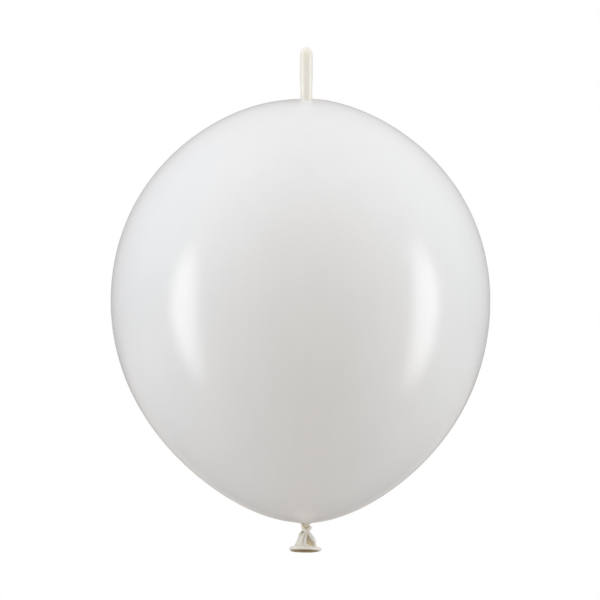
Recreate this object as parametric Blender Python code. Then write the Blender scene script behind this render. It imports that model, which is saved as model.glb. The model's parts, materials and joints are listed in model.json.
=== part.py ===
"""A tied 12 inch latex linking balloon, standing upright with its link tail on top.

The origin is the tie point, in the middle of the neck between the inflated skin and the knot.
+Z runs up through the balloon to its tail, -Y is the front, and lengths are in metres.
The latex bends everywhere, so each bending place is a round end that turns inside a hollow one.
"""

import math

import bmesh
import bpy
from mathutils import Matrix, Vector

MM = 0.001
GAP = 0.3 * MM  # clearance between neighbouring pieces

# Inflated skin
EQUATOR_RADIUS = 152.4 * MM
EQUATOR_Z = 179.6 * MM
CROWN_RISE = 161.9 * MM  # from the equator up to the crown
FOOT_DROP = 178.3 * MM  # from the equator down to the neck
CROWN_TAPER = (0.0, 0.074)  # how much slimmer than an ellipse the crown is
FOOT_TAPER = (0.075, 0.115)  # and how much slimmer the foot is
BULGE = Vector((-4.7 * MM, 13.0 * MM))  # the fat side leans left and back of the neck's axis
PULL_RADIUS = 15.7 * MM  # how far the tail and the neck pull the skin towards themselves
FOOT_PULL = 0.35  # share of the bulge that is lost close to the neck
WALL = 0.35 * MM
SKIN_RINGS = 28
SKIN_SIDES = 48

# Link tail
TAIL_X = 0.5 * MM
TAIL_RADIUS = 5.1 * MM
TAIL_BORE = 3.6 * MM
TAIL_TOP_Z = 383.4 * MM
TAIL_FOOT_RADIUS = 7.5 * MM
TAIL_SEAT_RADIUS = TAIL_RADIUS / math.cos(math.radians(30))  # lets the tail lean 60 degrees
CROWN_Z = EQUATOR_Z + CROWN_RISE
LEAN_Z = CROWN_Z + 5.6 * MM  # high enough for a leaning tail to clear the crown
SWAY_Z = LEAN_Z + 9.5 * MM

# Neck and knot
NECK_RADIUS = 3.2 * MM
NECK_FLANGE_RADIUS = 4.8 * MM
NECK_FLANGE_THICKNESS = 2 * WALL
NECK_SEAT_RADIUS = 3.5 * MM  # lets the knot tilt 45 degrees under the neck
LOOP_RADIUS = 2.95 * MM
LOOP_THICKNESS = 3.2 * MM
LOOP_SIDES = 16
LOOP_Z = -3.4 * MM
TUCK_RADIUS = 1.05 * MM
TUCK_BALL_RADIUS = 1.8 * MM

# Mouth
MOUTH_Z = -7.2 * MM
MOUTH_TILT = Matrix.Rotation(math.radians(-10), 4, "X") @ Matrix.Rotation(math.radians(2.5), 4, "Y")
SKIRT_SEAT_RADIUS = TUCK_BALL_RADIUS + GAP
SKIRT_SEAT_ANGLES = (-40, 20)  # lower and upper edge of the seat round the tuck's ball
SKIRT_WALL = 0.8 * MM
SKIRT_WALL_DROP = 0.3 * MM  # the wall is measured square to the flare, so its inside sits lower
SKIRT_COLLAR = [(2.7 * MM, 0.7 * MM), (3.6 * MM, -0.1 * MM)]  # (radius, height) round the ball
SKIRT_FLARE = [
    (4.7 * MM, -1.6 * MM),
    (6.0 * MM, -4.3 * MM),
    (7.2 * MM, -7.2 * MM),
    (8.4 * MM, -9.9 * MM),
    (9.9 * MM, -11.3 * MM),
]
BEAD_RADIUS = 11.2 * MM
BEAD_THICKNESS = 2.9 * MM
BEAD_SIDES = 14
BEAD_DROP = 12.9 * MM

ROUND_SIDES = 24
ARC_STEP = 9  # degrees between the points of a turned arc
SHARP = math.radians(40)  # edges that turn by more than this stay crisp
HALVINGS = 40  # enough to find a latitude to well under a micron


def clear_scene():
    for thing in list(bpy.data.objects):
        bpy.data.objects.remove(thing, do_unlink=True)


def latex(name, colour, roughness):
    """Plain latex: not metallic, with its own colour and gloss."""
    material = bpy.data.materials.new(name)
    material.use_nodes = True
    shader = material.node_tree.nodes["Principled BSDF"]
    shader.inputs["Base Color"].default_value = (*colour, 1)
    shader.inputs["Roughness"].default_value = roughness
    shader.inputs["Metallic"].default_value = 0
    return material


def body_empty(name, place):
    """The point that a moving body turns about."""
    empty = bpy.data.objects.new(name, None)
    empty.location = place
    bpy.context.collection.objects.link(empty)
    return empty


def add_piece(name, bm, material, parent=None):
    """One closed piece, shaded smooth, whose mesh is drawn about its parent's origin."""
    bmesh.ops.recalc_face_normals(bm, faces=bm.faces)
    mesh = bpy.data.meshes.new(name)
    bm.to_mesh(mesh)
    bm.free()
    mesh.shade_smooth()
    mesh.set_sharp_from_angle(angle=SHARP)
    mesh.materials.append(material)
    piece = bpy.data.objects.new(name, mesh)
    piece.parent = parent
    bpy.context.collection.objects.link(piece)
    return piece


def ring(bm, centre, radius, sides):
    """A level circle of points."""
    return [
        bm.verts.new(
            centre
            + Vector((math.cos(math.tau * k / sides), math.sin(math.tau * k / sides), 0)) * radius
        )
        for k in range(sides)
    ]


def bridge(bm, lower, upper):
    """A band of faces between two circles."""
    for k in range(len(lower)):
        after = (k + 1) % len(lower)
        bm.faces.new((lower[k], lower[after], upper[after], upper[k]))


def turned(outline, sides=ROUND_SIDES, closed=True):
    """A solid turned about Z from (radius, height) points. A radius of 0 makes a pole."""
    bm = bmesh.new()
    rows = []
    for radius, height in outline:
        centre = Vector((0, 0, height))
        rows.append([bm.verts.new(centre)] if radius == 0 else ring(bm, centre, radius, sides))
    pairs = list(zip(rows, rows[1:]))
    if closed:
        pairs.append((rows[-1], rows[0]))
    for one, other in pairs:
        if len(one) > 1 and len(other) > 1:
            bridge(bm, one, other)
        elif len(one) != len(other):
            pole, circle = sorted((one, other), key=len)
            for k in range(sides):
                bm.faces.new((pole[0], circle[k], circle[(k + 1) % sides]))
    return bm


def arc(radius, height, start, stop):
    """Points of a circle centred on the axis, by angle in degrees up from level."""
    steps = math.ceil(abs(stop - start) / ARC_STEP)
    angles = [math.radians(start + (stop - start) * k / steps) for k in range(steps + 1)]
    return [(radius * math.cos(a), height + radius * math.sin(a)) for a in angles]


def skin_shift(radius, lower):
    """How far a level ring of the skin sits from the neck's axis, 0 at its poles."""
    pulled = radius**2 / (radius**2 + PULL_RADIUS**2)
    if lower:
        pulled = FOOT_PULL * pulled + (1 - FOOT_PULL) * (radius / EQUATOR_RADIUS) ** 3
    return pulled


def skin_ring(latitude):
    """(radius, height) of the skin at a latitude, from -90 degrees at the neck to 90 at the tail."""
    rise = math.sin(latitude)
    second, fourth = CROWN_TAPER if rise > 0 else FOOT_TAPER
    radius = EQUATOR_RADIUS * math.cos(latitude) * (1 - second * rise**2 - fourth * rise**4)
    return radius, EQUATOR_Z + rise * (CROWN_RISE if rise > 0 else FOOT_DROP)


def latitude_at(radius, sign):
    """The latitude, near a pole, where the skin has this radius."""
    near, far = math.pi / 2, math.pi / 4
    for _ in range(HALVINGS):
        middle = (near + far) / 2
        if skin_ring(sign * middle)[0] < radius:
            near = middle
        else:
            far = middle
    return sign * (near + far) / 2


def make_envelope(material):
    """The inflated skin: thin, pear-shaped, and open where the neck and the tail join it."""
    foot_hole = NECK_RADIUS + GAP
    crown_hole = TAIL_FOOT_RADIUS + GAP
    lowest = latitude_at(foot_hole, -1)
    highest = latitude_at(crown_hole, 1)
    bm = bmesh.new()
    below = None
    for k in range(SKIN_RINGS + 1):
        share = k / SKIN_RINGS
        radius, height = skin_ring(lowest + (highest - lowest) * share)
        lower = height < EQUATOR_Z
        hole = foot_hole if lower else crown_hole
        shift = BULGE * skin_shift(radius - hole, lower)
        centre = Vector((shift.x + TAIL_X * share, shift.y, height))
        row = ring(bm, centre, radius, SKIN_SIDES)
        if below:
            bridge(bm, below, row)
        below = row
    envelope = add_piece("envelope", bm, material)
    wall = envelope.modifiers.new("wall", "SOLIDIFY")
    wall.thickness = WALL
    wall.offset = -1
    return envelope


def make_tail_collar(material):
    """The thick ring where the tail grows out of the crown, with a round, pierced end."""
    skin_top = skin_ring(latitude_at(TAIL_FOOT_RADIUS, 1))[1] - LEAN_Z
    fillet = TAIL_FOOT_RADIUS - TAIL_RADIUS
    outline = [(TAIL_BORE, skin_top - WALL), (TAIL_FOOT_RADIUS, skin_top - WALL)]
    for reach, rise in arc(fillet, 0, -90, 0):
        outline.append((TAIL_FOOT_RADIUS - fillet - rise, skin_top + fillet - reach))
    outline += round_end()
    return add_piece("tail_collar", turned(outline), material)


def round_end():
    """The half-round top of a tail segment, down to the mouth of its bore."""
    last = math.degrees(math.acos(TAIL_BORE / TAIL_RADIUS))
    return arc(TAIL_RADIUS, 0, 0, last)


def hollow_end():
    """The lower end of a tail segment, hollowed to turn over the round end below it."""
    rim = math.degrees(math.acos(TAIL_RADIUS / TAIL_SEAT_RADIUS))
    bore = math.degrees(math.acos(TAIL_BORE / TAIL_SEAT_RADIUS))
    return arc(TAIL_SEAT_RADIUS, 0, bore, rim)


def make_tail_root(material, parent):
    """The short lower length of the tail, which leans to the front and back."""
    rise = SWAY_Z - LEAN_Z
    outline = hollow_end()
    outline += [(radius, height + rise) for radius, height in round_end()]
    return add_piece("tail_root", turned(outline), material, parent)


def make_link_tail(material, parent):
    """The long free length of the tail, hollow and closed by a domed tip."""
    tip = TAIL_TOP_Z - SWAY_Z
    outline = hollow_end()
    outline += arc(TAIL_RADIUS, tip - TAIL_RADIUS, 0, 90)[:-1]
    outline += [(0, tip)]
    outline += [(0, tip - TAIL_RADIUS + TAIL_BORE)]
    outline += arc(TAIL_BORE, tip - TAIL_RADIUS, 90, 0)[1:]
    return add_piece("link_tail", turned(outline), material, parent)


def make_neck(material, parent):
    """The gathered neck: a flange inside the skin, and a round lower end that the knot hangs on."""
    skin_foot = skin_ring(latitude_at(NECK_RADIUS + GAP, -1))[1]
    flange = skin_foot + WALL + GAP
    top = flange + NECK_FLANGE_THICKNESS
    outline = [(0, top), (NECK_FLANGE_RADIUS, top), (NECK_FLANGE_RADIUS, flange)]
    outline += [(NECK_RADIUS, flange)]
    outline += arc(NECK_RADIUS, 0, 0, -90)[:-1]
    outline += [(0, -NECK_RADIUS)]
    return add_piece("neck", turned(outline, closed=False), material, parent)


def make_knot_loop(material, parent):
    """The loop of the knot, a fat ring with a hollow seat under the round end of the neck."""
    loop = bmesh.new()
    bmesh.ops.create_circle(loop, segments=LOOP_SIDES, radius=LOOP_THICKNESS / 2)
    upright = Matrix.Translation((LOOP_RADIUS, 0, LOOP_Z)) @ Matrix.Rotation(math.pi / 2, 4, "X")
    bmesh.ops.transform(loop, matrix=upright, verts=loop.verts)
    bmesh.ops.spin(
        loop,
        geom=loop.verts[:] + loop.edges[:],
        cent=(0, 0, 0),
        axis=(0, 0, 1),
        angle=math.tau,
        steps=ROUND_SIDES,
        use_merge=True,
    )
    bmesh.ops.remove_doubles(loop, verts=loop.verts, dist=0.001 * MM)
    piece = add_piece("knot_loop", loop, material, parent)
    ball = bmesh.new()
    bmesh.ops.create_uvsphere(
        ball, u_segments=ROUND_SIDES, v_segments=LOOP_SIDES, radius=NECK_SEAT_RADIUS
    )
    seat = add_piece("neck_seat_cutter", ball, material)
    seat.hide_render = True
    seat.display_type = "WIRE"
    hollow = piece.modifiers.new("neck seat", "BOOLEAN")
    hollow.operation = "DIFFERENCE"
    hollow.solver = "EXACT"
    hollow.object = seat
    return piece


def make_knot_tuck(material, parent):
    """The strand pulled through the loop, ending in the ball that the mouth turns on."""
    top = -NECK_SEAT_RADIUS - GAP / 2
    meet = math.degrees(math.asin(TUCK_RADIUS / TUCK_BALL_RADIUS))
    outline = [(0, top), (TUCK_RADIUS, top)]
    outline += arc(TUCK_BALL_RADIUS, MOUTH_Z, 90 - meet, -90)[:-1]
    outline += [(0, MOUTH_Z - TUCK_BALL_RADIUS)]
    return add_piece("knot_tuck", turned(outline, closed=False), material, parent)


def make_mouth_skirt(material, parent):
    """The slack funnel below the knot, which flares towards the rolled rim."""
    seat = arc(SKIRT_SEAT_RADIUS, 0, *SKIRT_SEAT_ANGLES)
    inner = [(radius - SKIRT_WALL, height - SKIRT_WALL_DROP) for radius, height in SKIRT_FLARE]
    outline = seat + SKIRT_COLLAR + SKIRT_FLARE + inner[::-1]
    return add_piece("mouth_skirt", turned(outline), material, parent)


def make_mouth_bead(material, parent):
    """The rolled rim at the end of the skirt."""
    half = BEAD_THICKNESS / 2
    turns = [math.tau * k / BEAD_SIDES for k in range(BEAD_SIDES)]
    outline = [(BEAD_RADIUS + half * math.cos(t), half * math.sin(t) - BEAD_DROP) for t in turns]
    return add_piece("mouth_bead", turned(outline), material, parent)


def main():
    clear_scene()
    skin = latex("envelope_latex", (0.80, 0.79, 0.77), 0.16)
    tail_latex = latex("tail_latex", (0.83, 0.81, 0.75), 0.30)
    neck_latex = latex("neck_latex", (0.74, 0.68, 0.57), 0.32)
    mouth_latex = latex("mouth_latex", (0.78, 0.75, 0.68), 0.34)

    make_envelope(skin)
    collar = make_tail_collar(tail_latex)
    collar.location = (TAIL_X, 0, LEAN_Z)
    lean = body_empty("tail_lean_axis", (TAIL_X, 0, LEAN_Z))
    make_tail_root(tail_latex, lean)
    sway = body_empty("tail_sway_axis", (TAIL_X, 0, SWAY_Z))
    make_link_tail(tail_latex, sway)

    tie = body_empty("tie_point", (0, 0, 0))
    make_neck(neck_latex, tie)
    make_knot_loop(neck_latex, tie)
    make_knot_tuck(neck_latex, tie)

    mouth = body_empty("mouth_axis", (0, 0, MOUTH_Z))
    mouth.matrix_world = Matrix.Translation((0, 0, MOUTH_Z)) @ MOUTH_TILT
    make_mouth_skirt(mouth_latex, mouth)
    make_mouth_bead(mouth_latex, mouth)


main()
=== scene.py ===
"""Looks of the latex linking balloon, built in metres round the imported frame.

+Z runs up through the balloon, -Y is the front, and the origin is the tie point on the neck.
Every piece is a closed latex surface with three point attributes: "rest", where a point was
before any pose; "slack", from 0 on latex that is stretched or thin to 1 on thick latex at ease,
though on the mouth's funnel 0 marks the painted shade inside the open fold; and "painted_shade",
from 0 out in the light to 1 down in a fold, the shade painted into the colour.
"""
import json
import math
from typing import NamedTuple

import bpy
import numpy as np
from mathutils import Matrix, Vector, noise


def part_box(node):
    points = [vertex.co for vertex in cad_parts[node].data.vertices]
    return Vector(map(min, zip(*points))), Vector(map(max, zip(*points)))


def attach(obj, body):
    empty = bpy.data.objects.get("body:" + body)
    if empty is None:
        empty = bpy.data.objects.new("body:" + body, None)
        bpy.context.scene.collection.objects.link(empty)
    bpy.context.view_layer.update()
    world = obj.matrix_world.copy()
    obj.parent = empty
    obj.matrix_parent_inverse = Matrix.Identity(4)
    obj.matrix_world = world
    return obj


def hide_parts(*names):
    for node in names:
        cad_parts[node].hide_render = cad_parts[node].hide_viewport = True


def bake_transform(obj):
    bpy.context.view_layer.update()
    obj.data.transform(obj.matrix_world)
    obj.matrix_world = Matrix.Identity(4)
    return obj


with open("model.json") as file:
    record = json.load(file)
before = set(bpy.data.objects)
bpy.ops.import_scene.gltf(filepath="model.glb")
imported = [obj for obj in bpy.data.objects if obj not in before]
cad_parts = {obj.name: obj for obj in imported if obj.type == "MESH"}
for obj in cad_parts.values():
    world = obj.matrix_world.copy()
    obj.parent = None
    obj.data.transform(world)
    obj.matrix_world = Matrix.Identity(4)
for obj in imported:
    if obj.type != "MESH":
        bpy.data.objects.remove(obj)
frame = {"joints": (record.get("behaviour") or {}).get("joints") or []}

MM = 0.001
TAU = math.tau
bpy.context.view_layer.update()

# Places that come from the frame
JOINTS = {joint["name"]: joint for joint in frame["joints"]}
SKIN_LOW, SKIN_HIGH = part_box("envelope")
TAIL_LOW, TAIL_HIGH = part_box("link_tail")
LEAN = Vector(JOINTS["tail_lean"]["pos_m"])
SWAY = Vector(JOINTS["tail_sway"]["pos_m"])
TIE = Vector(JOINTS["knot_tilt"]["pos_m"])
MOUTH = Vector(JOINTS["mouth_sway"]["pos_m"])

# Camera
CAMERA_DISTANCE = 4.2
CAMERA_AIM = Vector((-0.0046, 0.0, 0.1798))
FRAME_WIDTH = 0.4819  # how much the picture takes in at the balloon
SENSOR = 36.0  # in millimetres, as lenses are counted
CAMERA_REACH = 50  # further than the floor's far edge

# Inflated skin
EQUATOR_RADIUS = (SKIN_HIGH.x - SKIN_LOW.x) / 2
EQUATOR_SHARE = 0.5233  # of the skin's height, up from the neck
FOOT_Z = SKIN_LOW.z - 0.1 * MM  # where the full shape would close, inside the neck
CROWN_Z = SKIN_HIGH.z + 0.2 * MM  # and inside the tail
EQUATOR_Z = FOOT_Z + (CROWN_Z - FOOT_Z) * EQUATOR_SHARE
BULGE = (SKIN_LOW + SKIN_HIGH) / 2  # the fat side leans left and back of the neck's axis
PULL_RADIUS = 15.7 * MM  # how far the tail and the neck pull the skin towards themselves
FILLET_POWER = 2.6  # how fast a tube's root dies out over the skin
GATHER_REACH = 10 * MM  # and how fast its gathers do
SLACK_AT_TUBE = 0.9
CROWN_SLOPE_REACH = 26 * MM  # how far round the tail the crown falls away to the front
CROWN_SLOPE_TOP = 8 * MM  # behind the tail
POLE_CROWDING = 0.42  # how much closer together the skin's rings are at its poles
SKIN_SIDES = 224
SKIN_RINGS = 150

# Link tail
TAIL_RADIUS = (TAIL_HIGH.x - TAIL_LOW.x) / 2
TAIL_BASE_RADIUS = TAIL_RADIUS * 0.91
TAIL_TOP_Z = TAIL_HIGH.z - 1.0 * MM
TIP_LENGTH = 7.0 * MM  # of the rounded tip
COLLAR_DEPTH = 2.9 * MM  # how far the collar reaches down into the skin
COLLAR_LENGTH = 4.4 * MM
COLLAR_FLARE = 0.5 * MM  # how much wider the collar's foot is
COLLAR_FLARE_LENGTH = 2.2 * MM
COLLAR_FLARE_POWER = 2.5
ROOT_TOP = (LEAN.z + SWAY.z) / 2  # where the lower length of the tail meets the upper one
TAIL_SLACK = 0.75  # at the foot of a length of the tail
TAIL_SLACK_REACH = 4 * MM
STREAKS_ROUND = 5
STREAKS_ALONG = 60
TUBE_WRINKLE = 0.06 * MM
TIP_WRINKLE = 0.04 * MM
TAIL_SIDES = 56
COLLAR_STEPS = 14
ROOT_STEPS = 26
TUBE_STEPS = 60
TIP_STEPS = 14

# Neck, and its gathers
NECK_RADIUS = 3.1 * MM
NECK_TOP = 2.2 * MM
NECK_BOTTOM = -3.2 * MM
NECK_SPREAD = 0.35  # how much wider it is at its top
NECK_WAIST = 0.32  # and how much slimmer at its bottom
NECK_PLEAT = 0.22 * MM
NECK_TWIST = 0.05  # radians that the gathers turn in a millimetre
NECK_PAINTED_SHADE = 0.35  # painted shade over all of it, between skin and knot
GROOVE_PAINTED_SHADE = 0.25  # and how much more painted shade its grooves get
NECK_SIDES = 96
NECK_STEPS = 30

# Knot: (x, y, z, radius) of its strands, in millimetres
LOOP_ROUTE = [
    (3.1, -1.0, -2.9, 1.75),
    (2.0, -2.7, -3.9, 1.3),
    (-0.3, -2.9, -4.3, 1.0),
    (-1.9, -1.7, -2.8, 1.0),
    (-2.5, 0.4, -2.5, 1.1),
    (-1.6, 2.0, -3.3, 1.2),
    (0.8, 2.3, -3.6, 1.25),
    (2.7, 1.0, -3.1, 1.55),
]
TUCK_ROUTE = [
    (-1.3, 1.2, 2.3, 0.7),
    (-2.3, -0.5, 1.3, 0.85),
    (-2.75, -2.1, -0.9, 0.95),
    (-1.5, -3.8, -3.2, 1.1),
    (-0.3, -4.5, -5.0, 1.05),
    (0.4, -4.9, -6.6, 1.0),
    (0.5, -4.6, -8.2, 0.9),
]
STRAND_CREASE = 0.10  # share of the strand's radius
STRAND_LUMP = 0.12
STRAND_LUMP_SIZE = 1.6 * MM
STRAND_SIDES = 40
STRAND_STEPS = 14

# Funnel below the knot, in millimetres in the mouth's own frame
MOUTH_TILT = Matrix.Rotation(math.radians(-8.5), 4, "X") @ Matrix.Rotation(math.radians(2.2), 4, "Y")
SKIRT_PROFILE = [  # (depth below the mouth's pivot, radius)
    (-4.2, 2.1),
    (-2.6, 2.5),
    (-1.6, 3.4),
    (0.0, 4.8),
    (2.0, 5.6),
    (4.0, 6.3),
    (6.0, 7.0),
    (8.0, 7.7),
    (9.4, 8.4),
    (10.5, 9.2),
    (11.3, 10.2),
    (11.8, 10.8),
]
SKIRT_TOP = SKIRT_PROFILE[0][0]
SKIRT_FOOT = SKIRT_PROFILE[-1][0]
SKIRT_WALL = 0.45
SKIRT_SWELL = 1.45  # how much fatter the funnel is on the right
SKIRT_LEAN = 0.55  # how far its top leans left
PLEAT_HEIGHT = 0.30
WAVE_HEIGHT = 0.22
CREST_HEIGHT = 1.5  # the ridge beside the fold that hangs open
VALLEY_DEPTH = 0.9
OPEN_FOLD_DEPTH = 2.0
OPEN_FOLD_LIP = 0.8
POCKET_DEPTH = 1.6
POCKET_LIP = 0.35
OPEN_FOLD_ANGLE = math.radians(-60)  # where round the mouth the fold hangs open
FOLD_CROWDING = 0.4  # how much closer together the points are there
SKIRT_SIDES = 230
SKIRT_RINGS = 104

# Rolled rim
BEAD_RADIUS = 11.2 * MM
BEAD_HALF = 1.55 * MM  # half the roll's thickness
BEAD_DROP = 12.4 * MM  # below the mouth's pivot
RIM_SHIFT = 0.4 * MM  # the rim sits a little to the right of the funnel
ROLL_FATTER = 0.13  # how much fatter the roll is on the left, and thinner on the right
RIM_HANG = 0.75  # how much lower the rim hangs at the back left, in millimetres
RIM_SIDES = 160
ROLL_SIDES = 28

# Stage
ROOM_BELOW = (0.03, 0.03, 0.03)  # light from the room below the balloon
ROOM_ABOVE = (0.67, 0.61, 0.58)  # and from above it
ROOM_FRONT = (0.37, 0.39, 0.395)  # and what the front adds
FLOOR_TINT = (0.725, 0.705, 0.68)
FLOOR_RADIUS = 6.0
FLOOR_Z = -0.7
FLOOR_SIDES = 64
FLOOR_GLOW = 0.70  # how white the middle of the floor looks
FLOOR_FADE = (0.5, 3.2)  # and from where to where it fades to plain white
FLOOR_GLOSS = (2.8, 1.2)  # and from where to where, inwards, it goes clear for gloss
GLOSS_DISTANCE = 1.3
GLOSS_HEIGHT = 1.78
GLOSS_ELEVATION = -3.2
GLOSS_TINT = (0.98, 0.98, 1.0)
GLOSS_CORE = 0.3  # share of a gloss lamp's radius that is fully bright
GLOSS_LAMPS = [  # name, azimuth, width, power
    ("left gloss", -71.2, 0.62, 10.4),
    ("right gloss", 78.0, 0.66, 11.3),
]
FILL_DISTANCE = 1.5
FILL_HEIGHT = 1.4
FILL_LAMPS = [  # name, azimuth, elevation, width, power, tint
    ("left fill", -80, 8, 1.0, 8.5, (0.76, 0.87, 1.0)),
    ("right fill", 88, 8, 1.0, 8.8, (0.78, 0.89, 1.0)),
    ("overhead", 0, 80, 1.8, 6.9, (0.74, 0.86, 1.0)),
    ("back fill", 180, 20, 1.2, 3.5, (1.0, 1.0, 1.0)),
]

# Latex surface: sizes of its noise in lumps a metre, and depths of its bumps
CLOUDS = 14.0
DRIPS = 9.0
DRIP_STRETCH = (7.0, 7.0, 0.6)  # drips run down the former
GRAIN = 2600.0
SPECKLES = 900.0
SPECKLE_SHADE = 0.72  # share of the loose colour
SMEARS = 30.0
RIPPLES = 60.0
RIPPLE_DEPTH = 0.03 * MM
DRIP_DEPTH = 0.012 * MM
GRAIN_DEPTH = 0.004 * MM
LATEX_IOR = 1.5
SUBSURFACE_RADII = (1.0, 0.8, 0.55)  # warm light goes furthest into latex
SUBSURFACE_SCALE = 1.6 * MM
SHARP = math.radians(75)  # edges that turn by more than this stay crisp


class End(NamedTuple):
    """One end of the inflated skin, where a tube joins it."""

    axis: Vector  # a point on the tube
    root: float  # the tube's radius where it joins
    pole: float  # height of the skin's pole
    taper: tuple  # how much slimmer than an ellipse, with the square and the fourth power of the rise
    lean: float  # share of the bulge's lean that starts close to the tube
    fillet: float  # how far the tube's root spreads over the skin
    draw: float  # and how far it draws the skin up
    pleat: float  # height of the gathers
    slack_reach: float  # how far from the tube the skin isn't taut
    slope: float  # how steeply the skin falls away to the front


CROWN = End(
    axis=LEAN,
    root=TAIL_BASE_RADIUS,
    pole=CROWN_Z,
    taper=(0.0, 0.074),
    lean=1.0,
    fillet=1.6 * MM,
    draw=0.5 * MM,
    pleat=0.05 * MM,
    slack_reach=2.4 * MM,
    slope=0.13,
)
FOOT = End(
    axis=TIE,
    root=NECK_RADIUS,
    pole=FOOT_Z,
    taper=(0.075, 0.115),
    lean=0.35,
    fillet=4.5 * MM,
    draw=-0.9 * MM,
    pleat=0.17 * MM,
    slack_reach=13.0 * MM,
    slope=0.0,
)


class Finish(NamedTuple):
    """How one kind of latex looks, from taut at slackness 0 to loose at slackness 1; on the mouth,
    the taut colour is painted shade.
    """

    taut: tuple
    loose: tuple
    shade: tuple  # tint of the cloudy patches that a dipped skin always has
    painted_shade: tuple  # colour painted where shade falls, down in its folds
    taut_roughness: float
    loose_roughness: float
    subsurface: float


# colours of painted shade: tan in folds and inside the mouth, honey on the neck and knot
PAINTED_SHADE_TAN = (0.42, 0.32, 0.18)
PAINTED_SHADE_HONEY = (0.80, 0.67, 0.45)
SKIN_LATEX = Finish(
    taut=(0.83, 0.825, 0.81),
    loose=(0.80, 0.77, 0.70),
    shade=(0.78, 0.78, 0.77),
    painted_shade=PAINTED_SHADE_TAN,
    taut_roughness=0.15,
    loose_roughness=0.32,
    subsurface=0.0,
)
TAIL_LATEX = Finish(
    taut=(0.90, 0.885, 0.84),
    loose=(0.88, 0.85, 0.76),
    shade=(0.84, 0.81, 0.72),
    painted_shade=PAINTED_SHADE_TAN,
    taut_roughness=0.18,
    loose_roughness=0.22,
    subsurface=0.3,
)
NECK_LATEX = Finish(
    taut=(0.92, 0.88, 0.79),
    loose=(0.92, 0.88, 0.79),
    shade=(0.87, 0.81, 0.69),
    painted_shade=PAINTED_SHADE_HONEY,
    taut_roughness=0.24,
    loose_roughness=0.28,
    subsurface=0.3,
)
MOUTH_LATEX = Finish(
    # taut here is the painted shade inside the open fold, where the funnel's slack goes to 0
    taut=(0.66, 0.52, 0.29),
    loose=(0.88, 0.85, 0.765),
    shade=(0.82, 0.775, 0.68),
    painted_shade=PAINTED_SHADE_TAN,
    taut_roughness=0.24,
    loose_roughness=0.28,
    subsurface=0.3,
)


def smooth(low, high, value):
    """0 at low and before it, 1 at high and past it, and a smooth step between."""
    t = max(0.0, min(1.0, (value - low) / (high - low)))
    return t * t * (3 - 2 * t)


def bump(centre, width, value):
    """A smooth hill of height 1 and of half-width `width`."""
    t = abs(value - centre) / width
    return 0.0 if t >= 1 else (1 - t * t) ** 2


def turn(angle):
    """An angle brought between -180 and 180 degrees, in radians."""
    return (angle + math.pi) % TAU - math.pi


def pleats(angle, seed=0.0):
    """Uneven gathers round a neck, about -1 to 1."""
    even = 0.5 * math.cos(13 * angle + seed) + 0.3 * math.cos(19 * angle - 2.1 * seed)
    return even + 0.35 * noise.noise(Vector((2.6 * math.cos(angle), 2.6 * math.sin(angle), seed)))


class Sheet:
    """Rows of points that become one mesh, each point with its slackness and the painted shade of its
    fold.
    """

    def __init__(self):
        self.points = []
        self.slack = []
        self.painted_shade = []
        self.faces = []

    def add(self, point, slack, painted_shade=0.0):
        self.points.append(Vector(point))
        self.slack.append(slack)
        self.painted_shade.append(painted_shade)
        return len(self.points) - 1

    def band(self, one, other):
        """Faces between two rows. A row of one point is a pole."""
        count = max(len(one), len(other))
        for k in range(count):
            after = (k + 1) % count
            if len(one) == 1:
                self.faces.append((one[0], other[after], other[k]))
            elif len(other) == 1:
                self.faces.append((one[k], one[after], other[0]))
            else:
                self.faces.append((one[k], one[after], other[after], other[k]))

    def rows(self, rows, closed=False):
        """Faces between each row and the next, and from the last to the first if closed."""
        pairs = list(zip(rows, rows[1:]))
        if closed:
            pairs.append((rows[-1], rows[0]))
        for one, other in pairs:
            self.band(one, other)

    def build(self, name, material):
        """The finished object, with its normals facing out."""
        mesh = bpy.data.meshes.new(name)
        mesh.from_pydata([tuple(p) for p in self.points], [], self.faces)
        if signed_volume(mesh) < 0:
            mesh.flip_normals()
        mesh.shade_smooth()
        mesh.set_sharp_from_angle(angle=SHARP)
        rest = mesh.attributes.new("rest", "FLOAT_VECTOR", "POINT")
        rest.data.foreach_set("vector", np.array(self.points, np.float32).ravel())
        for label, values in (("slack", self.slack), ("painted_shade", self.painted_shade)):
            amount = mesh.attributes.new(label, "FLOAT", "POINT")
            amount.data.foreach_set("value", np.array(values, np.float32))
        mesh.materials.append(material)
        piece = bpy.data.objects.new(name, mesh)
        bpy.context.collection.objects.link(piece)
        return piece


def signed_volume(mesh):
    """Six times the volume, negative when the faces point in."""
    mesh.calc_loop_triangles()
    points = np.array([v.co for v in mesh.vertices], float)
    corners = np.array([t.vertices[:] for t in mesh.loop_triangles])
    a, b, c = points[corners[:, 0]], points[corners[:, 1]], points[corners[:, 2]]
    return float(np.sum(a * np.cross(b, c)))


# ---------------------------------------------------------------- materials


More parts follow.
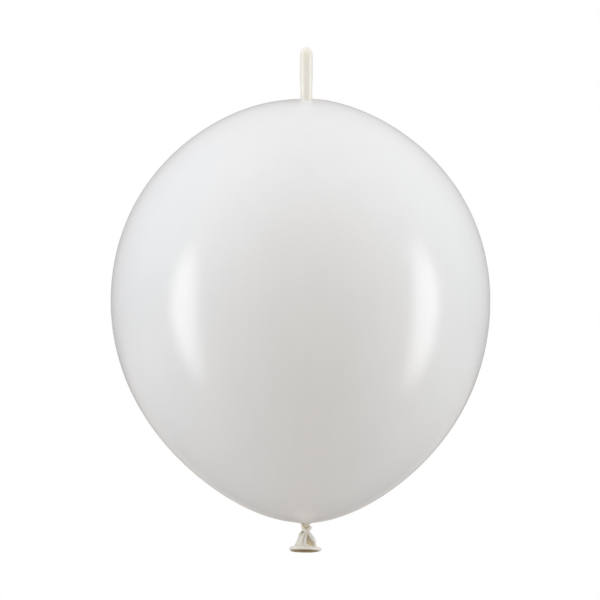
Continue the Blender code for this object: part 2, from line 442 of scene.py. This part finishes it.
class Latex:
    """A procedural latex material, built node by node."""

    def __init__(self, name):
        self.material = bpy.data.materials.new(name)
        self.material.use_nodes = True
        self.tree = self.material.node_tree
        self.shader = self.tree.nodes["Principled BSDF"]
        self.rest = self.attribute("rest", "Vector")
        self.slack = self.attribute("slack", "Fac")
        self.painted_shade = self.attribute("painted_shade", "Fac")

    def attribute(self, name, output):
        node = self.tree.nodes.new("ShaderNodeAttribute")
        node.attribute_name = name
        return node.outputs[output]

    def link(self, source, target):
        self.tree.links.new(source, target)

    def noise(self, scale, detail=3.0, rough=0.5, stretch=None):
        """Noise of a size given in lumps a metre, optionally stretched along X, Y and Z."""
        vector = self.rest
        if stretch:
            mapping = self.tree.nodes.new("ShaderNodeMapping")
            mapping.inputs["Scale"].default_value = stretch
            self.link(vector, mapping.inputs["Vector"])
            vector = mapping.outputs["Vector"]
        node = self.tree.nodes.new("ShaderNodeTexNoise")
        node.inputs["Scale"].default_value = scale
        node.inputs["Detail"].default_value = detail
        node.inputs["Roughness"].default_value = rough
        self.link(vector, node.inputs["Vector"])
        return node.outputs["Fac"]

    def spread(self, value, low, high, to_low, to_high):
        """A value brought from the range low to high into another one, and kept inside it."""
        node = self.tree.nodes.new("ShaderNodeMapRange")
        node.inputs["From Min"].default_value = low
        node.inputs["From Max"].default_value = high
        node.inputs["To Min"].default_value = to_low
        node.inputs["To Max"].default_value = to_high
        self.link(value, node.inputs["Value"])
        return node.outputs["Result"]

    def add(self, one, other):
        node = self.tree.nodes.new("ShaderNodeMath")
        node.operation = "ADD"
        self.link(one, node.inputs[0])
        self.link(other, node.inputs[1])
        return node.outputs[0]

    def blend_colour(self, amount, one, other):
        """From colour one to colour other. Each is a plain colour or a socket."""
        node = self.tree.nodes.new("ShaderNodeMix")
        node.data_type = "RGBA"
        self.link(amount, node.inputs[0])
        for socket, colour in ((node.inputs[6], one), (node.inputs[7], other)):
            if isinstance(colour, tuple):
                socket.default_value = (*colour, 1)
            else:
                self.link(colour, socket)
        return node.outputs[2]

    def bumps(self, layers):
        """Bump from (height socket, depth in metres) layers, laid over each other."""
        normal = None
        for height, depth in layers:
            node = self.tree.nodes.new("ShaderNodeBump")
            node.inputs["Strength"].default_value = 1.0
            node.inputs["Distance"].default_value = depth
            self.link(height, node.inputs["Height"])
            if normal:
                self.link(normal, node.inputs["Normal"])
            normal = node.outputs["Normal"]
        self.link(normal, self.shader.inputs["Normal"])


def make_latex(name, finish):
    """Latex whose colour and roughness go from taut to loose with its slackness."""
    latex = Latex(name)
    clouds = latex.spread(latex.noise(CLOUDS, 2.0), 0.35, 0.65, 0.0, 1.0)
    drips = latex.spread(latex.noise(DRIPS, 4.0, 0.6, DRIP_STRETCH), 0.3, 0.7, 0.0, 1.0)
    grain = latex.noise(GRAIN, 2.0, 0.6)
    body = latex.blend_colour(latex.slack, finish.taut, finish.loose)
    tint = latex.spread(latex.add(clouds, drips), 0.0, 2.0, 0.0, 0.5)
    cloudy = latex.blend_colour(tint, body, finish.shade)
    speckle = latex.spread(latex.noise(SPECKLES, 2.0, 0.7), 0.66, 0.78, 0.0, 0.10)
    speckled = latex.blend_colour(speckle, cloudy, tuple(SPECKLE_SHADE * c for c in finish.loose))
    # painted shade: the colour goes towards the fold's shade colour as the point's painted shade
    # grows
    colour = latex.blend_colour(latex.painted_shade, speckled, finish.painted_shade)
    latex.link(colour, latex.shader.inputs["Base Color"])
    rough = latex.spread(latex.slack, 0.0, 1.0, finish.taut_roughness, finish.loose_roughness)
    smear = latex.spread(latex.noise(SMEARS, 4.0, 0.65), 0.3, 0.7, -0.02, 0.03)
    latex.link(latex.add(rough, smear), latex.shader.inputs["Roughness"])
    latex.shader.inputs["IOR"].default_value = LATEX_IOR
    latex.shader.inputs["Subsurface Weight"].default_value = finish.subsurface
    latex.shader.inputs["Subsurface Radius"].default_value = SUBSURFACE_RADII
    latex.shader.inputs["Subsurface Scale"].default_value = SUBSURFACE_SCALE
    ripple = latex.noise(RIPPLES, 2.0)
    latex.bumps([(ripple, RIPPLE_DEPTH), (drips, DRIP_DEPTH), (grain, GRAIN_DEPTH)])
    return latex.material


# ---------------------------------------------------------------- inflated skin


def skin_ring(end, latitude):
    """(radius, height) of the skin at a latitude, from the neck's pole to the tail's."""
    rise = math.sin(latitude)
    second, fourth = end.taper
    radius = EQUATOR_RADIUS * math.cos(latitude) * (1 - second * rise**2 - fourth * rise**4)
    return radius, EQUATOR_Z + abs(rise) * (end.pole - EQUATOR_Z)


def skin_centre(end, radius):
    """The middle of a level ring of the skin, pulled to the neck and the tail at its poles."""
    reach = max(radius - end.root, 0.0)
    pulled = reach**2 / (reach**2 + PULL_RADIUS**2)
    share = end.lean * pulled + (1 - end.lean) * (radius / EQUATOR_RADIUS) ** 3
    return end.axis.lerp(BULGE, share)


def latitudes():
    """Latitudes of the skin's rings, closer together at both poles, where the skin gathers."""
    for k in range(SKIN_RINGS + 1):
        t = 2 * k / SKIN_RINGS - 1
        yield math.pi / 2 * ((1 + POLE_CROWDING) * t - POLE_CROWDING * t**3)


def skin_row(sheet, end, radius, height):
    """One ring of the skin's points, with the gathers and the slackness round its tube."""
    beyond = radius - end.root
    height += end.draw * max(0.0, 1 - beyond / end.fillet) ** FILLET_POWER
    slope = end.slope * math.exp(-((radius / CROWN_SLOPE_REACH) ** 2))
    centre = skin_centre(end, radius)
    gather = math.exp(-beyond / GATHER_REACH)
    slack = SLACK_AT_TUBE * math.exp(-beyond / end.slack_reach)
    row = []
    for k in range(SKIN_SIDES):
        angle = TAU * k / SKIN_SIDES
        fold = end.pleat * gather * pleats(angle)
        out = Vector((math.cos(angle), math.sin(angle), 0))
        point = Vector((centre.x, centre.y, height + fold)) + out * radius
        point.z += slope * (point.y - CROWN_SLOPE_TOP)
        row.append(sheet.add(point, slack))
    return row


def make_envelope(material):
    """The blown-up skin: pear-shaped, gathered at the neck and drawn up at the tail."""
    sheet = Sheet()
    rows = []
    for latitude in latitudes():
        end = CROWN if latitude > 0 else FOOT
        radius, height = skin_ring(end, latitude)
        if radius >= end.root:
            rows.append(skin_row(sheet, end, radius, height))
    foot = sheet.add((TIE.x, TIE.y, sheet.points[rows[0][0]].z), 1.0)
    crown = sheet.add((LEAN.x, LEAN.y, sheet.points[rows[-1][0]].z), 1.0)
    sheet.rows([[foot], *rows, [crown]])
    piece = sheet.build("envelope_skin", material)
    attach(piece, "envelope")
    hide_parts("envelope")


# ---------------------------------------------------------------- link tail


def tail_radius(height):
    """The tail narrows a little towards its root."""
    share = smooth(LEAN.z - 4 * MM, SWAY.z + 6 * MM, height)
    return TAIL_BASE_RADIUS + (TAIL_RADIUS - TAIL_BASE_RADIUS) * share


def tail_row(sheet, height, radius, slack, wrinkle):
    """A ring of the tail's points, with fine streaks that run along it."""
    row = []
    for k in range(TAIL_SIDES):
        angle = TAU * k / TAIL_SIDES
        out = Vector((math.cos(angle), math.sin(angle), 0))
        streak = wrinkle * noise.noise(out * STREAKS_ROUND + Vector((0, 0, STREAKS_ALONG * height)))
        row.append(sheet.add(Vector((LEAN.x, LEAN.y, height)) + out * (radius + streak), slack))
    return row


def tail_length(low, high, steps, flare):
    """A closed length of the tail between two heights, for the pieces below the tip."""
    sheet = Sheet()
    rows = []
    for k in range(steps + 1):
        height = low + (high - low) * k / steps
        wider = flare * max(0.0, 1 - (height - low) / COLLAR_FLARE_LENGTH) ** COLLAR_FLARE_POWER
        slack = TAIL_SLACK + (1 - TAIL_SLACK) * smooth(low, low + TAIL_SLACK_REACH, height)
        rows.append(tail_row(sheet, height, tail_radius(height) + wider, slack, TUBE_WRINKLE))
    foot = sheet.add((LEAN.x, LEAN.y, low), 1.0)
    top = sheet.add((LEAN.x, LEAN.y, high), 1.0)
    sheet.rows([[foot], *rows, [top]])
    return sheet


def make_tail(material):
    """The collar on the crown, the root and the long upper length with its tip."""
    collar_foot = CROWN_Z - COLLAR_DEPTH
    collar_top = collar_foot + COLLAR_LENGTH
    collar = tail_length(collar_foot, collar_top, COLLAR_STEPS, COLLAR_FLARE)
    piece = collar.build("tail_collar_ring", material)
    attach(piece, "envelope")
    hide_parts("tail_collar")

    root = tail_length(collar_top, ROOT_TOP, ROOT_STEPS, 0.0).build("tail_root_tube", material)
    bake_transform(root)
    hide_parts("tail_root")

    sheet = Sheet()
    rows = []
    tip_base = TAIL_TOP_Z - TIP_LENGTH
    for k in range(TUBE_STEPS + 1):
        height = ROOT_TOP + (tip_base - ROOT_TOP) * k / TUBE_STEPS
        rows.append(tail_row(sheet, height, tail_radius(height), 1.0, TUBE_WRINKLE))
    for k in range(1, TIP_STEPS):
        rise = math.radians(90 * k / TIP_STEPS)
        height = tip_base + TIP_LENGTH * math.sin(rise)
        rows.append(tail_row(sheet, height, tail_radius(height) * math.cos(rise), 1.0, TIP_WRINKLE))
    foot = sheet.add((LEAN.x, LEAN.y, ROOT_TOP), 1.0)
    top = sheet.add((LEAN.x, LEAN.y, TAIL_TOP_Z), 1.0)
    sheet.rows([[foot], *rows, [top]])
    tube = sheet.build("link_tail_tube", material)
    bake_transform(tube)
    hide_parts("link_tail")


# ---------------------------------------------------------------- neck and knot


def make_neck(material):
    """The gathered neck, pleated round, that dives into the knot."""
    sheet = Sheet()
    rows = []
    for k in range(NECK_STEPS + 1):
        height = NECK_TOP + (NECK_BOTTOM - NECK_TOP) * k / NECK_STEPS
        spread = NECK_SPREAD * smooth(0.6 * MM, NECK_TOP, height)
        waist = 1 + spread - NECK_WAIST * smooth(-0.8 * MM, NECK_BOTTOM, height)
        row = []
        for s in range(NECK_SIDES):
            angle = TAU * s / NECK_SIDES
            fold = pleats(angle + height / MM * NECK_TWIST)
            reach = NECK_RADIUS * waist + NECK_PLEAT * fold
            # painted shade over the neck, and more of it in the grooves between its gathers
            painted_shade = NECK_PAINTED_SHADE + GROOVE_PAINTED_SHADE * smooth(0.2, -0.6, fold)
            point = (reach * math.cos(angle), reach * math.sin(angle), height)
            row.append(sheet.add(point, 1.0, painted_shade))
        rows.append(row)
    head = sheet.add((0, 0, NECK_TOP), 1.0)
    foot = sheet.add((0, 0, NECK_BOTTOM), 1.0)
    sheet.rows([[head], *rows, [foot]])
    neck = sheet.build("neck_gathers", material)
    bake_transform(neck)
    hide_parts("neck")


def curve_through(points, closed):
    """Points along a smooth curve through a few given ones."""
    count = len(points)
    spans = count if closed else count - 1
    out = []
    for span in range(spans):
        ids = [span - 1, span, span + 1, span + 2]
        if closed:
            a, b, c, d = (points[i % count] for i in ids)
        else:
            a, b, c, d = (points[max(0, min(count - 1, i))] for i in ids)
        for k in range(STRAND_STEPS):
            t = k / STRAND_STEPS
            straight = 2 * b + (c - a) * t
            bend = (2 * a - 5 * b + 4 * c - d) * t**2 + (3 * b - a - 3 * c + d) * t**3
            out.append(0.5 * (straight + bend))
    if not closed:
        out.append(points[-1])
    return out


def strand(route, seed, closed=False):
    """A creased tube of latex along (x, y, z, radius) points in millimetres."""
    sheet = Sheet()
    rows = []
    path = curve_through([Vector(p[:3]) * MM for p in route], closed)
    girths = curve_through([Vector((p[3] * MM, 0, 0)) for p in route], closed)
    side = Vector((0, 0, 1))
    count = len(path)
    for k, point in enumerate(path):
        ahead = path[(k + 1) % count] if closed or k + 1 < count else point
        behind = path[k - 1] if closed or k else point
        along = (ahead - behind).normalized()
        side = (side - along * side.dot(along)).normalized()
        other = along.cross(side)
        lump = noise.noise(point / STRAND_LUMP_SIZE + Vector((seed, 0, 0)))
        row = []
        for s in range(STRAND_SIDES):
            angle = TAU * s / STRAND_SIDES
            fold = 0.6 * math.cos(5 * angle + seed) + 0.4 * math.cos(9 * angle + 3 * seed)
            reach = girths[k].x * (1 + STRAND_CREASE * fold + STRAND_LUMP * lump)
            around = (side * math.cos(angle) + other * math.sin(angle)) * reach
            # painted shade down in the strand's creases
            row.append(sheet.add(point + around, 1.0, 0.5 * smooth(0.1, -0.8, fold)))
        rows.append(row)
    if closed:
        sheet.rows(rows, closed=True)
    else:
        first = sheet.add(path[0], 1.0)
        last = sheet.add(path[-1], 1.0)
        sheet.rows([[first], *rows, [last]])
    return sheet


def make_knot(material):
    """An overhand knot: a fat loop round the neck, and the strand that is tucked through it."""
    loop = strand(LOOP_ROUTE, seed=2.0, closed=True)
    piece = loop.build("knot_loop_strand", material)
    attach(piece, "knot")
    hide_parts("knot_loop")

    tuck = strand(TUCK_ROUTE, seed=4.0)
    piece = tuck.build("knot_tuck_strand", material)
    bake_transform(piece)
    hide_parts("knot_tuck")


# ---------------------------------------------------------------- mouth


def skirt_radius(depth):
    """Radius of the smooth funnel at a depth, in millimetres."""
    for (d0, r0), (d1, r1) in zip(SKIRT_PROFILE, SKIRT_PROFILE[1:]):
        if depth <= d1:
            return r0 + (r1 - r0) * (depth - d0) / (d1 - d0)
    return SKIRT_PROFILE[-1][1]


def fold_edges(depth):
    """Left and right edges, in degrees from the front, of the fold that hangs open."""
    left = 6 + 14 * (1 - smooth(-1.0, 7.0, depth)) + 14 * smooth(8.0, 11.5, depth)
    right = 24 + 38 * smooth(1.6, 9.8, depth) - 26 * smooth(9.3, 12.0, depth)
    return left, right


def skirt_fold(depth, angle):
    """(radius in millimetres, how far into the open fold, painted shade) of the funnel's outer face,
    in the mouth's own frame.
    """
    side = math.degrees(turn(angle + math.pi / 2))  # 0 at the front, growing to the right
    left, right = fold_edges(depth)
    radius = skirt_radius(depth) + PLEAT_HEIGHT * (1 - smooth(-1.0, 9.5, depth)) * pleats(angle, 1.7)
    swell = bump(80, 70, side) * smooth(-1.5, 5.0, depth) * (1 - smooth(5.0, 12.0, depth))
    radius += SKIRT_SWELL * swell - SKIRT_LEAN * math.cos(angle) * bump(-0.4, 4.2, depth)
    ridge = left - 8
    crest = bump(ridge, 13, side) * (1 - smooth(8.5, 11.5, depth))
    valley = bump(ridge - 11, 8, side) * (1 - smooth(7.0, 11.0, depth))
    # the fold that hangs open on the right, with a lip along its far edge
    inside = smooth(left - 1.5, left + 3.5, side) * (1 - smooth(right - 8, right + 3, side))
    inside *= smooth(-0.8, 1.6, depth) * (1 - smooth(10.1, 11.4, depth))
    lip = bump(right + 8, 13, side) * smooth(0.5, 3.0, depth) * (1 - smooth(8.0, 10.5, depth))
    # the pocket under the knot on the left, over the panel's own lip
    edge = -0.4 + 1.8 * smooth(-12, -62, side)
    across = smooth(-100, -50, side) * (1 - smooth(-16, -4, side))
    pocket = across * (1 - smooth(edge - 0.7, edge + 0.2, depth)) * smooth(-2.8, -0.8, depth)
    pocket_lip = across * bump(edge + 0.7, 0.9, depth)
    # broad soft waves down the left panel and round the back
    waves = math.cos(math.radians(7 * side + 40)) * bump(4.0, 7.5, depth) * (1 - bump(30, 60, side))
    radius += WAVE_HEIGHT * waves
    radius += CREST_HEIGHT * crest + OPEN_FOLD_LIP * lip + POCKET_LIP * pocket_lip
    radius -= VALLEY_DEPTH * valley + OPEN_FOLD_DEPTH * inside + POCKET_DEPTH * pocket
    # painted shade inside the open fold, most at its left edge, and in the pocket and the valley
    shaded = 0.6 * inside * (1 - smooth(left, left + 14, side))
    return radius, inside, min(1.0, shaded + 0.8 * pocket + 0.12 * valley)


def make_skirt(place, material):
    """The funnel below the knot: a thin wall, folded, with its own inner face."""
    sheet = Sheet()
    faces_out = []
    faces_in = []
    for k in range(SKIRT_RINGS + 1):
        depth = SKIRT_TOP + (SKIRT_FOOT - SKIRT_TOP) * k / SKIRT_RINGS
        outer = []
        inner = []
        for s in range(SKIRT_SIDES):
            even = TAU * s / SKIRT_SIDES
            angle = even - FOLD_CROWDING * math.sin(even - OPEN_FOLD_ANGLE)
            radius, open_fold_shade, painted_shade = skirt_fold(depth, angle)
            out = Vector((math.cos(angle), math.sin(angle), 0))
            down = Vector((0, 0, -depth * MM))
            # slack goes to 0 inside the open fold, which paints shade there in the mouth's taut
            # colour
            outer.append(sheet.add(place @ (down + out * radius * MM), 1.0 - open_fold_shade, painted_shade))
            # the inner face is painted in full shade
            inner.append(sheet.add(place @ (down + out * (radius - SKIRT_WALL) * MM), 1.0, 1.0))
        faces_out.append(outer)
        faces_in.append(inner)
    sheet.rows(faces_out + faces_in[::-1], closed=True)
    skirt = sheet.build("mouth_skirt_folds", material)
    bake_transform(skirt)
    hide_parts("mouth_skirt")


def make_rim(place, material):
    """The rolled rim, a soft flattened ring with the roll's lines along it."""
    sheet = Sheet()
    rows = []
    for s in range(RIM_SIDES):
        angle = TAU * s / RIM_SIDES
        degrees = math.degrees(angle)
        sag = 0.16 * math.cos(2 * angle + 0.6) + 0.12 * math.cos(3 * angle - 1.1)
        sag -= RIM_HANG * bump(150, 75, degrees)
        wide = 0.20 * math.cos(2 * angle - 1.0) + 0.10 * math.cos(5 * angle)
        row = []
        for k in range(ROLL_SIDES):
            turned = TAU * k / ROLL_SIDES
            around = Vector((6 * math.cos(angle), 6 * math.sin(angle), 1.5 * math.cos(turned)))
            roll = 1 + 0.03 * math.cos(6 * turned + 2 * angle) + 0.05 * noise.noise(around)
            half = BEAD_HALF * roll * (1 - ROLL_FATTER * math.cos(angle))
            reach = BEAD_RADIUS + wide * MM + half * 1.04 * math.cos(turned)
            height = -BEAD_DROP + sag * MM + half * 0.96 * math.sin(turned)
            point = Vector((reach * math.cos(angle) + RIM_SHIFT, reach * math.sin(angle), height))
            # painted shade on the inner and lower side of the roll, which is in the dark, and more of
            # it on the left
            under = -0.85 * math.cos(turned) - 0.4 * math.sin(turned) + 0.7 * bump(205, 45, degrees)
            row.append(sheet.add(place @ point, 1.0, smooth(0.1, 0.8, under)))
        rows.append(row)
    sheet.rows(rows, closed=True)
    rim = sheet.build("rolled_rim", material)
    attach(rim, "mouth")
    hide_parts("mouth_bead")


# ---------------------------------------------------------------- stage


def make_camera():
    """A long lens level with the middle of the balloon, straight in front of it."""
    data = bpy.data.cameras.new("camera")
    data.sensor_width = SENSOR
    data.lens = SENSOR * (CAMERA_DISTANCE + BULGE.y) / FRAME_WIDTH
    data.clip_end = CAMERA_REACH
    camera = bpy.data.objects.new("camera", data)
    camera.location = CAMERA_AIM - Vector((0, CAMERA_DISTANCE, 0))
    camera.rotation_euler = (math.pi / 2, 0, 0)
    bpy.context.collection.objects.link(camera)
    bpy.context.scene.camera = camera


def ramp(tree, value, low, high, to_low=0.0, to_high=1.0):
    """A smooth step from to_low at low to to_high at high."""
    node = tree.nodes.new("ShaderNodeMapRange")
    node.interpolation_type = "SMOOTHSTEP"
    node.inputs["From Min"].default_value = low
    node.inputs["From Max"].default_value = high
    node.inputs["To Min"].default_value = to_low
    node.inputs["To Max"].default_value = to_high
    tree.links.new(value, node.inputs["Value"])
    return node.outputs["Result"]


def length_of(tree, vector):
    """The length of a vector, as a socket."""
    node = tree.nodes.new("ShaderNodeVectorMath")
    node.operation = "LENGTH"
    tree.links.new(vector, node.inputs[0])
    return node.outputs["Value"]


def mix_shaders(tree, amount, one, other):
    """Shader one where the amount is 0, and shader other where it is 1."""
    node = tree.nodes.new("ShaderNodeMixShader")
    tree.links.new(amount, node.inputs[0])
    tree.links.new(one, node.inputs[1])
    tree.links.new(other, node.inputs[2])
    return node.outputs[0]


def lamp(name, azimuth, elevation, distance, width, height, power, tint):
    """An oval soft lamp aimed at the balloon. Azimuth 0 is the front and 90 the right."""
    data = bpy.data.lights.new(name, "AREA")
    data.shape = "ELLIPSE"
    data.size = width
    data.size_y = height
    data.energy = power
    data.color = tint
    light = bpy.data.objects.new(name, data)
    a = math.radians(azimuth)
    e = math.radians(elevation)
    away = Vector((math.sin(a) * math.cos(e), -math.cos(a) * math.cos(e), math.sin(e)))
    light.location = CAMERA_AIM + away * distance
    light.rotation_euler = away.to_track_quat("Z", "Y").to_euler()
    light.visible_camera = False
    bpy.context.collection.objects.link(light)
    return light


def fade_edges(data, core):
    """Dims a lamp smoothly from `core` of its radius out to its edge."""
    data.use_nodes = True
    tree = data.node_tree
    geometry = tree.nodes.new("ShaderNodeNewGeometry")
    centred = tree.nodes.new("ShaderNodeVectorMath")
    centred.operation = "SUBTRACT"
    centred.inputs[1].default_value = (0.5, 0.5, 0)
    tree.links.new(geometry.outputs["Parametric"], centred.inputs[0])
    fade = ramp(tree, length_of(tree, centred.outputs[0]), 0.5, core / 2)
    tree.links.new(fade, tree.nodes["Emission"].inputs["Strength"])


def make_lights():
    """Tall oval lamps that show in the gloss, and softer ones that only fill."""
    for name, azimuth, width, power in GLOSS_LAMPS:
        size = (GLOSS_DISTANCE, width, GLOSS_HEIGHT)
        gloss = lamp(name, azimuth, GLOSS_ELEVATION, *size, power, GLOSS_TINT)
        gloss.visible_diffuse = False
        fade_edges(gloss.data, GLOSS_CORE)
    for name, azimuth, elevation, width, power, tint in FILL_LAMPS:
        fill = lamp(name, azimuth, elevation, FILL_DISTANCE, width, FILL_HEIGHT, power, tint)
        fill.visible_glossy = False


def make_floor():
    """A pale round floor that fades into the white behind, and that can't be seen from below."""
    mesh = bpy.data.meshes.new("floor")
    edge = []
    for k in range(FLOOR_SIDES):
        angle = TAU * k / FLOOR_SIDES
        edge.append((FLOOR_RADIUS * math.cos(angle), FLOOR_RADIUS * math.sin(angle), FLOOR_Z))
    mesh.from_pydata(edge, [], [tuple(range(FLOOR_SIDES))])
    floor = bpy.data.objects.new("floor", mesh)
    bpy.context.collection.objects.link(floor)
    material = bpy.data.materials.new("pale floor")
    material.use_nodes = True
    mesh.materials.append(material)
    tree = material.node_tree
    shader = tree.nodes["Principled BSDF"]
    shader.inputs["Base Color"].default_value = (*FLOOR_TINT, 1)
    shader.inputs["Roughness"].default_value = 0.7
    glow = tree.nodes.new("ShaderNodeEmission")
    place = tree.nodes.new("ShaderNodeTexCoord")
    rays = tree.nodes.new("ShaderNodeLightPath")
    distance = length_of(tree, place.outputs["Object"])
    fade = ramp(tree, distance, *FLOOR_FADE, FLOOR_GLOW, 1.0)
    seen = tree.nodes.new("ShaderNodeMath")
    seen.operation = "MULTIPLY"
    tree.links.new(fade, seen.inputs[0])
    tree.links.new(rays.outputs["Is Camera Ray"], seen.inputs[1])
    lit = mix_shaders(tree, seen.outputs[0], shader.outputs[0], glow.outputs[0])
    # clear from below, and near the middle for gloss, so that the foot's gloss stays dim
    under = tree.nodes.new("ShaderNodeNewGeometry")
    hidden = tree.nodes.new("ShaderNodeMath")
    hidden.operation = "MULTIPLY_ADD"
    tree.links.new(ramp(tree, distance, *FLOOR_GLOSS), hidden.inputs[0])
    tree.links.new(rays.outputs["Is Glossy Ray"], hidden.inputs[1])
    tree.links.new(under.outputs["Backfacing"], hidden.inputs[2])
    clear = tree.nodes.new("ShaderNodeBsdfTransparent")
    both = mix_shaders(tree, hidden.outputs[0], lit, clear.outputs[0])
    tree.links.new(both, tree.nodes["Material Output"].inputs["Surface"])


def make_world():
    """White behind the balloon, and a dimmer room that lights it."""
    world = bpy.data.worlds.new("studio")
    bpy.context.scene.world = world
    world.use_nodes = True
    tree = world.node_tree
    tree.nodes.clear()
    place = tree.nodes.new("ShaderNodeTexCoord")
    split = tree.nodes.new("ShaderNodeSeparateXYZ")
    tree.links.new(place.outputs["Generated"], split.inputs[0])
    shares = []
    for axis, low, high in (("Z", ROOM_BELOW, ROOM_ABOVE), ("Y", ROOM_FRONT, (0, 0, 0))):
        share = tree.nodes.new("ShaderNodeMapRange")
        share.inputs["From Min"].default_value = -1.0
        tree.links.new(split.outputs[axis], share.inputs["Value"])
        mix = tree.nodes.new("ShaderNodeMix")
        mix.data_type = "RGBA"
        mix.inputs[6].default_value = (*low, 1)
        mix.inputs[7].default_value = (*high, 1)
        tree.links.new(share.outputs["Result"], mix.inputs[0])
        shares.append(mix.outputs[2])
    total = tree.nodes.new("ShaderNodeVectorMath")
    tree.links.new(shares[0], total.inputs[0])
    tree.links.new(shares[1], total.inputs[1])
    room = tree.nodes.new("ShaderNodeBackground")
    tree.links.new(total.outputs[0], room.inputs["Color"])
    white = tree.nodes.new("ShaderNodeBackground")
    white.inputs["Color"].default_value = (1, 1, 1, 1)
    rays = tree.nodes.new("ShaderNodeLightPath")
    either = mix_shaders(tree, rays.outputs["Is Camera Ray"], room.outputs[0], white.outputs[0])
    out = tree.nodes.new("ShaderNodeOutputWorld")
    tree.links.new(either, out.inputs["Surface"])


def main():
    make_camera()
    make_envelope(make_latex("skin latex", SKIN_LATEX))
    make_tail(make_latex("tail latex", TAIL_LATEX))
    neck_latex = make_latex("neck latex", NECK_LATEX)
    make_neck(neck_latex)
    make_knot(neck_latex)
    mouth_latex = make_latex("mouth latex", MOUTH_LATEX)
    place = Matrix.Translation(MOUTH) @ MOUTH_TILT
    make_skirt(place, mouth_latex)
    make_rim(place, mouth_latex)
    make_floor()
    make_world()
    make_lights()
    bpy.context.scene.view_settings.view_transform = "Standard"


main()
